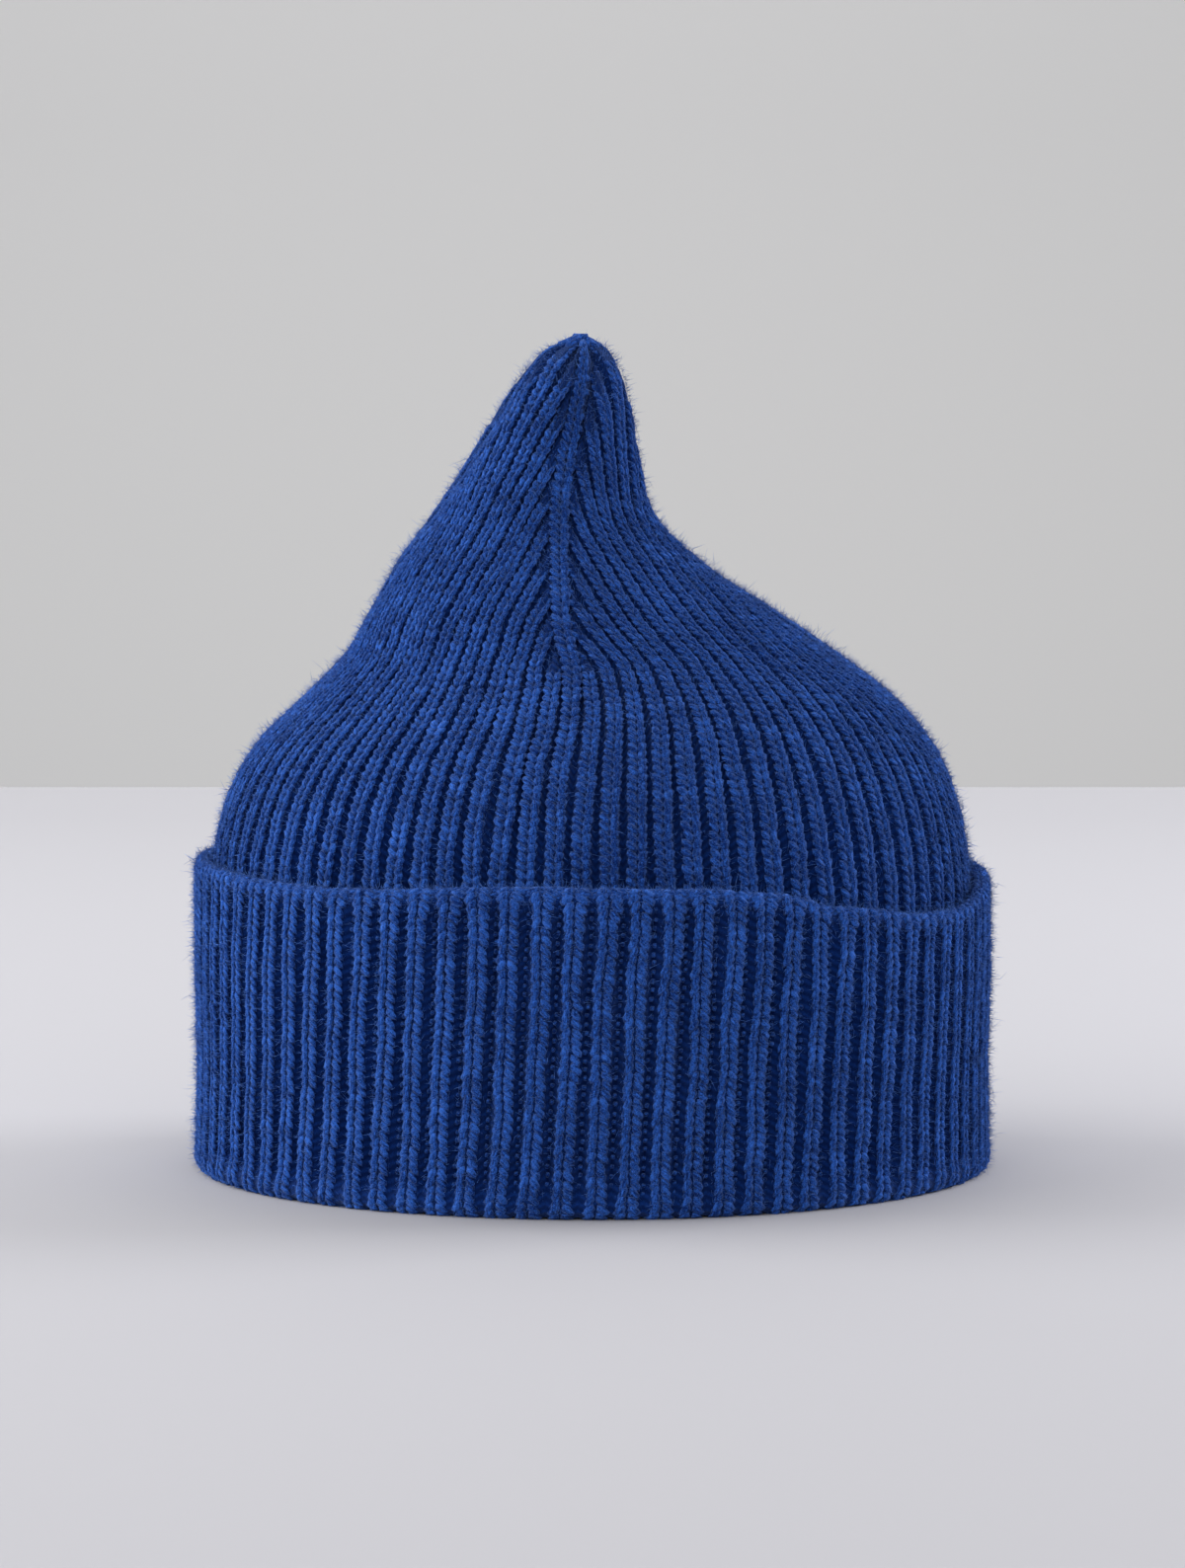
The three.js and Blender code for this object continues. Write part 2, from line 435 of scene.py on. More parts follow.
@dataclass
class Form:
    """A small closed form of a few faces, to be repeated: corners, faces, and each face corner's place on it."""

    corners: np.ndarray
    faces: list[tuple[int, ...]]
    wraps: np.ndarray

    @staticmethod
    def bead(sides: int, bands: int) -> Form:
        """A closed bead from pole to pole along Z.

        Args:
            sides: corners round it.
            bands: bands of faces from pole to pole.

        Returns:
            The bead, one unit in radius; its wrap is the share of the way round it and along it.
        """
        bead = bmesh.new()
        bmesh.ops.create_uvsphere(bead, u_segments=sides, v_segments=bands, radius=1)
        bmesh.ops.recalc_face_normals(bead, faces=bead.faces)
        bead.verts.ensure_lookup_table()
        corners = np.array([vert.co for vert in bead.verts])
        faces = [tuple(vert.index for vert in face.verts) for face in bead.faces]
        bead.free()
        wraps = []
        for face in faces:
            x, y, z = corners[list(face)].T
            poles = np.hypot(x, y) < SAME_POINT
            turn = (np.arctan2(x, y) / TAU) % 1.0
            rest = turn[~poles]
            rest = np.where(rest < rest.max() - 0.5, rest + 1, rest)
            turn[~poles] = rest
            turn[poles] = rest.mean()
            wraps.extend(np.stack([turn, (z + 1) / 2], 1))
        return Form(corners, faces, np.array(wraps))

    @staticmethod
    def spike() -> Form:
        """A closed three-sided spike up Z.

        Returns:
            The spike, one unit long and one in radius at its foot; its wrap is the corner's share and its height.
        """
        cone = bmesh.new()
        bmesh.ops.create_cone(cone, cap_ends=True, segments=3, radius1=1, radius2=0, depth=1)
        bmesh.ops.remove_doubles(cone, verts=cone.verts, dist=SAME_POINT)
        bmesh.ops.recalc_face_normals(cone, faces=cone.faces)
        cone.verts.ensure_lookup_table()
        corners = np.array([vert.co for vert in cone.verts]) + [0, 0, 0.5]
        faces = [tuple(vert.index for vert in face.verts) for face in cone.faces]
        cone.free()
        wraps = np.array([[index / 3, corners[index, 2]] for face in faces for index in face])
        return Form(corners, faces, wraps)

    @staticmethod
    def together(forms: list[Form]) -> Form:
        """Joins forms that keep their places.

        Args:
            forms: the forms.

        Returns:
            All of them as one form.
        """
        faces, shift = [], 0
        for form in forms:
            faces += [tuple(index + shift for index in face) for face in form.faces]
            shift += len(form.corners)
        corners = np.concatenate([form.corners for form in forms])
        return Form(corners, faces, np.concatenate([form.wraps for form in forms]))


@dataclass(frozen=True)
class Strand:
    """A length of yarn that shows in a stitch: ends as (across, up), lifts at start, middle and end."""

    start: tuple[float, float]
    end: tuple[float, float]
    lifts: tuple[float, float, float]
    half_width: float
    half_thickness: float
    sides: int = 5
    bands: int = 3

    def form(self) -> Form:
        """Bends a bead along the strand's way, blunt at both ends.

        Returns:
            The closed strand in millimetres: across, up and lift.
        """
        bead = Form.bead(self.sides, self.bands)
        side, over, along = bead.corners.T
        share = (along + 1) / 2
        full = np.clip(1 - along**2, 0, 1) ** 0.36 / np.maximum(np.hypot(side, over), SAME_POINT)
        side, over = side * full, over * full
        begin, finish = np.array(self.start), np.array(self.end)
        way = (finish - begin) / np.linalg.norm(finish - begin)
        right = np.array([way[1], -way[0]])
        flat = begin + share[:, None] * (finish - begin) + (side * self.half_width)[:, None] * right
        low, middle, high = self.lifts
        peak = 2 * middle - (low + high) / 2
        lift = low * (1 - share) ** 2 + high * share**2 + 2 * share * (1 - share) * peak
        corners = np.column_stack([flat, lift + over * self.half_thickness])
        return Form(corners, bead.faces, bead.wraps)


class Stitch(Enum):
    """The stitches of the hat, each as the lengths of yarn that show."""

    UPRIGHT = (
        Strand((-0.1, -1.7), (-2.05, 1.5), (-0.5, -0.3, -0.75), 1.06, 0.42),
        Strand((0.65, -1.9), (1.7, 1.7), (-0.5, -0.3, -0.75), 1.12, 0.42),
    )
    TURNED = (
        Strand((-0.55, 2.05), (-1.95, -1.4), (-0.5, -0.3, -0.8), 0.95, 0.42),
        Strand((0.15, 1.75), (2.2, -1.15), (-0.5, -0.3, -0.8), 0.95, 0.42),
    )
    PURL = (Strand((-0.65, 0.12), (0.65, -0.08), (-3.2, -1.9, -3.2), 0.58, 0.5, 4),)
    EDGE = (Strand((-1.5, -0.2), (1.5, 0.25), (-1.0, -0.7, -1.0), 0.68, 0.5, 4),)
    DECREASE = (Strand((1.7, -0.3), (-1.4, 1.1), (-1.1, -0.1, -0.9), 0.85, 0.8),)

    @property
    def form(self) -> Form:
        """The stitch's strands as one form."""
        return Form.together([strand.form() for strand in self.value])


@dataclass
class Knitting:
    """Gathers many stitches laid on one cloth, and joins them into one mesh."""

    cloth: Cloth
    seed: int
    corners: list[np.ndarray] = field(default_factory=list)
    faces: list[tuple[Form, int, int]] = field(default_factory=list)
    tones: list[np.ndarray] = field(default_factory=list)
    count: int = 0

    def __post_init__(self) -> None:
        """Starts this piece's own run of chance."""
        self.chance = np.random.default_rng(self.seed)

    def lay(
        self,
        form: Form,
        path: Callable[[np.ndarray], np.ndarray],
        climb: np.ndarray,
        squeeze: np.ndarray | float = 1.0,
        lift: np.ndarray | float = 0.0,
        slack: float = 1.0,
        tone: tuple[float, float] = (0.5, 0.18),
    ) -> None:
        """Lays one copy of a form at each place.

        Args:
            form: the stitch.
            path: gives the share of the way round for shares of the way up, a row for each copy.
            climb: the share of the way up of each copy.
            squeeze: how much of its width each keeps.
            lift: how far each is raised over the crests.
            slack: how unevenly they lie.
            tone: middle and spread of the yarn's shade.
        """
        count, size = len(climb), len(form.corners)
        if not count:
            return
        luck = self.chance.normal(size=(6, count, 1)) * slack
        across = form.corners[None, :, 0] * (1 + 0.05 * luck[0]) + 0.09 * luck[1]
        up = form.corners[None, :, 1] * (1 + 0.05 * luck[2]) + 0.08 * luck[3]
        high = form.corners[None, :, 2] * (1 + 0.04 * luck[4]) + 0.07 * luck[5]
        rise = climb[:, None] + up / self.cloth.length
        around = path(rise)
        around = around + across * np.broadcast_to(squeeze, (count,))[:, None] / self.cloth.girth(around, rise)
        high = high + np.broadcast_to(lift, (count,))[:, None]
        self.keep(self.cloth.at(around, rise, high))
        shade = np.clip(self.chance.normal(tone[0], tone[1], count), 0, 1)
        self.tones.append(np.repeat(shade, size))
        self.faces.append((form, count, self.count))
        self.count += count * size

    def keep(self, points: np.ndarray) -> None:
        """Keeps points for the piece, none of them under the table."""
        points[..., 2] = np.maximum(points[..., 2], 0.0)
        self.corners.append(points.reshape(-1, 3))

    def make(self, name: str) -> bpy.types.Object:
        """Joins what was laid into one piece.

        Args:
            name: the piece's name.

        Returns:
            The new object, at the origin.
        """
        loops, starts, wraps, begun = [], [], [], 0
        for form, count, first in self.faces:
            ring = np.array([index for face in form.faces for index in face])
            sizes = np.array([len(face) for face in form.faces])
            offsets = first + np.arange(count)[:, None] * len(form.corners)
            loops.append((ring[None, :] + offsets).ravel())
            begins = np.concatenate([[0], np.cumsum(sizes)[:-1]])
            starts.append((begun + begins[None, :] + np.arange(count)[:, None] * len(ring)).ravel())
            wraps.append(np.tile(form.wraps, (count, 1)))
            begun += count * len(ring)
        loops, starts = np.concatenate(loops), np.concatenate(starts)
        mesh = bpy.data.meshes.new(name)
        mesh.vertices.add(self.count)
        mesh.vertices.foreach_set("co", np.concatenate(self.corners).astype(np.float32).ravel())
        mesh.loops.add(len(loops))
        mesh.loops.foreach_set("vertex_index", loops.astype(np.int32))
        mesh.polygons.add(len(starts))
        mesh.polygons.foreach_set("loop_start", starts.astype(np.int32))
        mesh.update(calc_edges=True)
        wrap = mesh.uv_layers.new(name="wrap")
        wrap.data.foreach_set("uv", np.concatenate(wraps).astype(np.float32).ravel())
        tone = mesh.attributes.new("tone", "FLOAT", "POINT")
        tone.data.foreach_set("value", np.concatenate(self.tones).astype(np.float32))
        mesh.polygons.foreach_set("use_smooth", np.ones(len(starts), dtype=bool))
        mesh.validate()
        return place_mesh(name, mesh)


def loft(name: str, rings: np.ndarray, wraps: np.ndarray) -> bpy.types.Object:
    """A smooth closed skin through rings of points.

    Args:
        name: the piece's name.
        rings: points, ring by ring, in metres. A ring at one point closes the skin there.
        wraps: each point's place in the knit pattern, as (ribs round, courses up).

    Returns:
        The new object, at the origin.
    """
    rows, columns = rings.shape[:2]
    skin = bmesh.new()
    bmesh.ops.create_grid(skin, x_segments=columns, y_segments=rows - 1, size=1)
    layer = skin.loops.layers.uv.new("wrap")
    places = {}
    for vert in skin.verts:
        column = round((vert.co.x + 1) / 2 * columns)
        row = round((vert.co.y + 1) / 2 * (rows - 1))
        places[vert] = (row, column)
        vert.co = Vector(rings[row, column % columns])
    for face in skin.faces:
        for loop in face.loops:
            row, column = places[loop.vert]
            turn, course = wraps[row, column % columns]
            loop[layer].uv = (turn + (RIBS if column == columns else 0), course)
    bmesh.ops.remove_doubles(skin, verts=skin.verts, dist=SAME_POINT)
    bmesh.ops.recalc_face_normals(skin, faces=skin.faces)
    for face in skin.faces:
        face.smooth = True
    return place_form(name, skin)


def linear(colour: str) -> tuple[float, float, float, float]:
    """An sRGB hex colour as linear red, green, blue and alpha."""
    parts = [int(colour.lstrip("#")[i : i + 2], 16) / 255 for i in (0, 2, 4)]
    return (*[p / 12.92 if p <= 0.04045 else ((p + 0.055) / 1.055) ** 2.4 for p in parts], 1.0)


def bare_material(name: str) -> bpy.types.Material:
    """A new material with an empty node tree.

    Args:
        name: its name.

    Returns:
        The material.
    """
    material = bpy.data.materials.new(name)
    material.use_nodes = True
    material.node_tree.nodes.clear()
    return material


def add_node(
    tree: bpy.types.NodeTree, kind: str, settings: dict | None = None, links: dict | None = None
) -> bpy.types.Node:
    """Adds a node with its settings and links.

    Args:
        tree: the node tree.
        kind: the node's type.
        settings: values by input or property name.
        links: output sockets by input name or number.

    Returns:
        The node.
    """
    node = tree.nodes.new(kind)
    for name, value in (settings or {}).items():
        if isinstance(name, int) or name in node.inputs:
            node.inputs[name].default_value = value
        else:
            setattr(node, name, value)
    for name, socket in (links or {}).items():
        tree.links.new(socket, node.inputs[name])
    return node


class Pattern(Enum):
    """What a wool finish draws on its piece."""

    STREAKS = "the fibres that lie along a strand of yarn"
    CHEVRONS = "rows of stitches, on the cloth behind the modelled ones, and bands of shade on a loose fibre"


@dataclass(frozen=True)
class LambswoolYarn:
    """Soft-spun lambswool, dyed in the wool: matt and heathered, with a pale bloom of fibres at grazing angles. The
    backing's finish is painted darker and the loose fibres' finish paler than the yarn, as painted shade and painted
    light.
    """

    name: str
    pattern: Pattern
    deep: str = "#092360"
    fair: str = "#386ED2"
    bloom: str = "#8CAEF2"
    sheen: float = 0.4
    ply_relief: float = 0.3

    def make(self) -> bpy.types.Material:
        """Builds the finish.

        Returns:
            The material.
        """
        material = bare_material(self.name)
        tree = material.node_tree
        place = add_node(tree, "ShaderNodeTexCoord")
        spot = {"Vector": place.outputs["Object"]}
        # heathered wool: shades drift over about 12 mm, and single fibres differ, drawn at about 0.3 mm to show
        drift = add_node(tree, "ShaderNodeTexNoise", {"Scale": 85.0, "Detail": 1.0}, spot)
        grain = add_node(tree, "ShaderNodeTexNoise", {"Scale": 3000.0, "Detail": 2.0, "Roughness": 0.7}, spot)
        # the tone attribute holds each stitch's random shade, and also the painted shade set for some gores, for the
        # purl bumps and for the edge rows
        tone = add_node(tree, "ShaderNodeAttribute", {"attribute_name": "tone"})
        ridge = self._ridges(tree, place)
        shades = [(tone.outputs["Fac"], 0.35), (drift.outputs["Fac"], 0.5), (grain.outputs["Fac"], 2.4), (ridge, 0.8)]
        mixed = self._sum(tree, shades, -1.6)
        colour = add_node(tree, "ShaderNodeMix", {"data_type": "RGBA", "clamp_factor": True})
        colour.inputs[6].default_value = linear(self.deep)
        colour.inputs[7].default_value = linear(self.fair)
        tree.links.new(mixed, colour.inputs[0])
        height = self._sum(tree, [(ridge, 0.6), (grain.outputs["Fac"], 0.7)], 0.0)
        relief = {"Strength": 0.9, "Distance": self.ply_relief * MM}
        bump = add_node(tree, "ShaderNodeBump", relief, {"Height": height})
        # keratin has an IOR of 1.55; the brushed surface scatters nearly everything
        shader = add_node(
            tree,
            "ShaderNodeBsdfPrincipled",
            {
                "IOR": 1.55,
                "Roughness": 0.9,
                "Specular IOR Level": 0.0,
                "Sheen Weight": self.sheen,
                "Sheen Roughness": 0.5,
                "Sheen Tint": linear(self.bloom),
            },
            {"Base Color": colour.outputs[2], "Normal": bump.outputs["Normal"]},
        )
        add_node(tree, "ShaderNodeOutputMaterial", None, {"Surface": shader.outputs["BSDF"]})
        return material

    def _sum(
        self, tree: bpy.types.NodeTree, terms: list[tuple[bpy.types.NodeSocket, float]], start: float
    ) -> bpy.types.NodeSocket:
        """Adds up weighted sockets. Each term brings the start value, and the next replaces it by the sum so far.

        Args:
            tree: the node tree.
            terms: sockets with their weights.
            start: the value that the sum starts from.

        Returns:
            The sum's socket.
        """
        total: bpy.types.NodeSocket | None = None
        for socket, weight in terms:
            term = add_node(tree, "ShaderNodeMath", {"operation": "MULTIPLY_ADD", 1: weight, 2: start}, {0: socket})
            if total is not None:
                tree.links.new(total, term.inputs[2])
            total = term.outputs[0]
        return total

    def _ridges(self, tree: bpy.types.NodeTree, place: bpy.types.Node) -> bpy.types.NodeSocket:
        """Draws the raised lines of the pattern.

        Args:
            tree: the node tree.
            place: its texture coordinates.

        Returns:
            The socket of their height, from 0 to 1.
        """
        axes = add_node(tree, "ShaderNodeSeparateXYZ", None, {"Vector": place.outputs["UV"]})
        if self.pattern is Pattern.STREAKS:
            # fibres lie along the yarn with a slow twist to the left, as streaks about 0.4 mm wide and 2 mm long
            around, along = axes.outputs["X"], axes.outputs["Y"]
            twist = add_node(tree, "ShaderNodeMath", {"operation": "MULTIPLY_ADD", 1: 0.35}, {0: along, 2: around})
            own = add_node(tree, "ShaderNodeAttribute", {"attribute_name": "tone"})
            apart = add_node(tree, "ShaderNodeMath", {"operation": "MULTIPLY", 1: 57.0}, {0: own.outputs["Fac"]})
            lay = {"X": twist.outputs[0], "Y": along, "Z": apart.outputs[0]}
            run = {"Vector": add_node(tree, "ShaderNodeCombineXYZ", None, lay).outputs[0]}
            drawn = {"Vector": add_node(tree, "ShaderNodeMapping", {"Scale": (9.0, 1.3, 1.0)}, run).outputs[0]}
            streaks = add_node(tree, "ShaderNodeTexNoise", {"Scale": 1.0, "Detail": 1.0, "Roughness": 0.6}, drawn)
            steep = {"Value": streaks.outputs["Fac"]}
            return add_node(tree, "ShaderNodeMapRange", {"From Min": 0.3, "From Max": 0.7}, steep).outputs[0]
        # each rib's courses as chevrons
        share = add_node(tree, "ShaderNodeMath", {"operation": "PINGPONG", 1: 0.5}, {0: axes.outputs["X"]})
        ends = {0: share.outputs[0], 2: axes.outputs["Y"]}
        slant = add_node(tree, "ShaderNodeMath", {"operation": "MULTIPLY_ADD", 1: 2.0}, ends)
        angle = add_node(tree, "ShaderNodeMath", {"operation": "MULTIPLY", 1: TAU}, {0: slant.outputs[0]})
        wave = add_node(tree, "ShaderNodeMath", {"operation": "SINE"}, {0: angle.outputs[0]})
        half = {"operation": "MULTIPLY_ADD", 1: 0.5, 2: 0.5}
        return add_node(tree, "ShaderNodeMath", half, {0: wave.outputs[0]}).outputs[0]


def dress(piece: bpy.types.Object, material: bpy.types.Material, node: str) -> bpy.types.Object:
    """Gives a piece its finish and its place in the part.

    Args:
        piece: the new piece.
        material: its finish.
        node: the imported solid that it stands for.

    Returns:
        The piece.
    """
    piece.data.materials.append(material)
    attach(piece, "root")
    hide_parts(node)
    LOG.info("%s: %d faces", piece.name, len(piece.data.polygons))
    return piece


class Nap(Enum):
    """How the loose fibres of the wool stand: typical length, its spread, the share that stands up, and thickness."""

    LONG = (2.4, 1.2, 0.35, 0.045)
    DOWN = (1.6, 0.6, 0.8, 0.06)

    def grow(
        self,
        name: str,
        cloth: Cloth,
        crest: Callable[[np.ndarray, np.ndarray], np.ndarray],
        count: int,
        span: tuple[float, float],
        seed: int,
    ) -> bpy.types.Object:
        """Loose wool fibres over a cloth.

        Args:
            name: the piece's name.
            cloth: the cloth they grow from.
            crest: tells how far up a rib's flank a place lies; fibres grow on the ribs.
            count: how many.
            span: the lowest and the highest share of the way up.
            seed: the run of chance.

        Returns:
            The new object.
        """
        typical, spread, standing, thick = self.value
        hairs = Knitting(cloth, seed)
        chance = hairs.chance
        # seven tries for each fibre, kept the likelier the wider the cloth is there and the nearer to a crest
        tries = count * 7
        climb = chance.uniform(*span, tries)
        around = chance.uniform(0, 1, tries)
        girth = cloth.girth(around, climb)
        likely = chance.uniform(0, cloth.girths.max(), tries) < girth * crest(around, climb)
        kept = np.flatnonzero(likely)[:count]
        climb, around, girth = climb[kept], around[kept], girth[kept]
        spike = Form.spike() if self is Nap.DOWN else Form.bead(3, 2)
        share = spike.corners[:, 2] if self is Nap.DOWN else (spike.corners[:, 2] + 1) / 2
        number = len(climb)
        long = np.clip(chance.normal(typical, spread, number), 0.4 * typical, 3.2 * typical)[:, None]
        heading = chance.uniform(0, TAU, number)[:, None] + chance.normal(0, 0.8, number)[:, None] * share
        upright = chance.uniform(size=number) < standing
        stand = np.where(upright, chance.uniform(0.45, 1.5, number), chance.uniform(0.05, 0.4, number))[:, None]
        # a wool fibre is 0.02 mm thick; drawn as a few lying together, so that it shows
        thick = thick * chance.uniform(0.75, 1.25, number)[:, None]
        run = long * share
        across = run * np.cos(heading) * np.cos(stand) + spike.corners[:, 0] * thick
        up = run * np.sin(heading) * np.cos(stand) + spike.corners[:, 1] * thick
        arch = chance.normal(0.1, 0.25, number)[:, None] * long * share * (1 - share)
        lift = -0.15 + run * np.sin(stand) + arch + spike.corners[:, 0] * thick
        rise = climb[:, None] + up / cloth.length
        turned = around[:, None] + across / girth[:, None]
        hairs.keep(cloth.at(turned, rise, lift))
        hairs.tones.append(np.repeat(chance.uniform(0.3, 1, number), len(share)))
        hairs.faces.append((spike, number, 0))
        hairs.count = number * len(share)
        return hairs.make(name)


@dataclass
class Crown:
    """The hollow knitted crown: its backing cloth, its ribs gore by gore, its gathered point and its fibres."""

    shape: CrownShape = field(default_factory=CrownShape)
    wale: float = 4.95
    packing: tuple[float, ...] = (0.86, 0.9, 0.93, 0.96)
    # each gore's middle tone is painted shade and light: the front right gore is painted darkest and the others
    # lighter, standing in for how the lamps fall
    shades: tuple[float, ...] = (0.0, 0.25, 0.35, 0.2)
    core: float = 0.52
    valley: float = 3.1
    relief: float = 1.0
    first_seen: float = 0.2
    last_course: float = 0.985
    spread: float = 0.18
    sunk: float = 1.5
    nap: tuple[float, float] = (0.22, 0.995)
    hairs: int = 6000
    down: int = 46000

    def build(self, yarn: bpy.types.Material, face: bpy.types.Material, hair: bpy.types.Material) -> None:
        """Builds and dresses every piece of the crown.

        Args:
            yarn: the finish of the stitches.
            face: the finish of the backing cloth, painted darker than the yarn as shade.
            hair: the finish of loose fibres, painted paler than the yarn as light.
        """
        self.cloth = self.shape.cloth()
        dress(self._backing(), face, "crown")
        for gore, name in enumerate(QUARTERS):
            dress(self._gore(gore, f"crown_ribs_{name}"), yarn, "crown")
        dress(self._point(), yarn, "crown")
        dress(Nap.LONG.grow("crown_fibres", self.cloth, self._crest, self.hairs, self.nap, 31), hair, "crown")
        dress(Nap.DOWN.grow("crown_down", self.cloth, self._crest, self.down, self.nap, 32), hair, "crown")

    def _backing(self) -> bpy.types.Object:
        """Makes the cloth behind the stitches, a hollow shell with ribs on its inside face too.

        Returns:
            The new object.
        """
        columns = 6 * RIBS
        around = np.arange(columns) / columns
        rings, wraps = [], []

        def ring(climb: float, depth: np.ndarray) -> None:
            """Adds one ring.

            Args:
                climb: its share of the way up.
                depth: how far under the crests each of its points lies.
            """
            rise = np.full(columns, climb)
            rings.append(self.cloth.at(around, rise, -depth))
            wraps.append(np.stack([around * RIBS, rise * self.cloth.length / self.shape.course], 1))

        for climb in [0.925, *np.linspace(0.88, 0.6, 9), *np.linspace(0.56, 0, 12)]:
            ribbed = 1 - float(smooth_step(0.54, 0.62, np.array(climb)))
            ring(climb, WALL - self.relief * self._crest(around, climb) * ribbed)
        for climb in [*np.linspace(0, 0.2, 5), *np.linspace(0.225, 0.99, 52)]:
            seen = float(smooth_step(0.19, 0.22, np.array(climb)))
            crest = self._crest(around, climb)
            ring(climb, self.valley - crest * (self.valley - 0.2 - seen * (self.core - 0.2)))
        tip = self.cloth.at(np.zeros(columns), np.ones(columns), 0)
        under = tip - np.array([0, 0, 7.0 * MM])
        over = tip - np.array([0, 0, 1.6 * MM])
        rings = np.stack([under, *rings, over])
        wraps = np.stack([wraps[0], *wraps, wraps[-1]])
        return loft("crown_cloth", rings, wraps)

    def _crest(self, around: np.ndarray, climb: np.ndarray | float) -> np.ndarray:
        """How far up a rib's flank each place lies, with no rib where the shape's are lost.

        Args:
            around: shares of the way round.
            climb: shares of the way up, one for all or one for each.

        Returns:
            1 along the middle of a rib and 0 in the valleys.
        """
        live, lost = self.shape.live(np.asarray(climb)), self.shape.lost(np.asarray(climb))
        step = (around * GORES % 1) * live
        place = np.where((step < 0.5) | (step > live - 0.5), step, step + lost)
        return smooth_step(0.5, 0.2, np.abs((place + 0.5) % 1 - 0.5))

    def _sway(self, chance: np.random.Generator) -> Callable[[np.ndarray], np.ndarray]:
        """Draws how one rib wanders from its line.

        Args:
            chance: the piece's run of chance.

        Returns:
            A function from shares of the way up to millimetres round the hat.
        """
        phase = chance.uniform(0, TAU, 3)
        waves = np.array([7.0, 15.0, 33.0])
        sizes = np.array([0.2, 0.13, 0.06])
        return lambda climb: sum(s * np.sin(w * climb * 2 + p) for s, w, p in zip(sizes, waves, phase))

    def _gore(self, gore: int, name: str) -> bpy.types.Object:
        """Knits one gore, from the rib along its first line to the last rib before the next line.

        Args:
            gore: its number, counted from the front line towards +X.
            name: the piece's name.

        Returns:
            The new object.
        """
        work = Knitting(self.cloth, 100 + gore)
        shape = self.shape
        upright, decrease = Stitch.UPRIGHT.form, Stitch.DECREASE.form
        courses = np.arange(self.first_seen, self.last_course, shape.course / self.cloth.length)
        for place in range(RIBS_PER_GORE):
            sway = self._sway(work.chance)
            shift = work.chance.uniform(-0.5, 0.5) * shape.course / self.cloth.length

            def path(climb: np.ndarray, place: int = place, sway: Callable = sway) -> np.ndarray:
                """The rib's way round, with its sway."""
                rib = shape.rib(gore, np.array(place), climb)
                return rib + sway(climb) / self.cloth.girth(rib, climb)

            near = shape.beside_line(np.full(len(courses), place), courses)
            seen = near > 0.5
            climb = courses[seen] + shift
            pitch = self.cloth.girth(path(climb), climb) / (GORES * shape.live(climb))
            squeeze = np.minimum(1.0, self.packing[gore] * pitch / self.wale)
            if place == 0:
                squeeze = 1 - 0.6 * smooth_step(0.8, 0.99, climb)
            tuck = -self.sunk * smooth_step(1.45, 0.55, near[seen]) if place else np.zeros(len(climb))
            # the stitches take their gore's tone, painted shade for the front right gore
            work.lay(upright, path, climb, squeeze, tuck, tone=(self.shades[gore], self.spread))
        line = np.arange(shape.first_decrease, 0.95, shape.decrease_step)
        # a decrease lies across the line's rib, 0.78 of a rib after its middle, as two loops one on the other
        beside = (gore + 0.78 / RIBS_PER_GORE) / GORES
        for offset in (0.0, 0.35):
            places = line + offset * shape.decrease_step
            work.lay(decrease, lambda climb: np.full_like(climb, beside), places, 0.8, -0.7)
        return work.make(name)

    def _point(self) -> bpy.types.Object:
        """Draws the last loops together on their own yarn into a small gathered knot.

        Returns:
            The new object.
        """
        work = Knitting(self.cloth, 7)
        loop = Strand((-0.5, -2.6), (0.4, 2.4), (-1.3, 0.15, -0.6), 1.0, 0.9).form()
        for ring, climb, lift in ((8, 0.982, -0.2), (6, 0.992, 0.1)):
            for step in range(ring):
                share = (step + 0.5 * (ring == 6)) / ring
                work.lay(loop, lambda rise, share=share: np.full_like(rise, share), np.array([climb]), 0.9, lift)
        knot = Strand((-2.2, 0.0), (2.2, 0.2), (-0.6, 0.5, -0.6), 1.1, 1.0).form()
        for share in (0.05, 0.55):
            work.lay(knot, lambda rise, share=share: np.full_like(rise, share), np.array([0.992]), 0.8, 0.2)
        return work.make("crown_point")


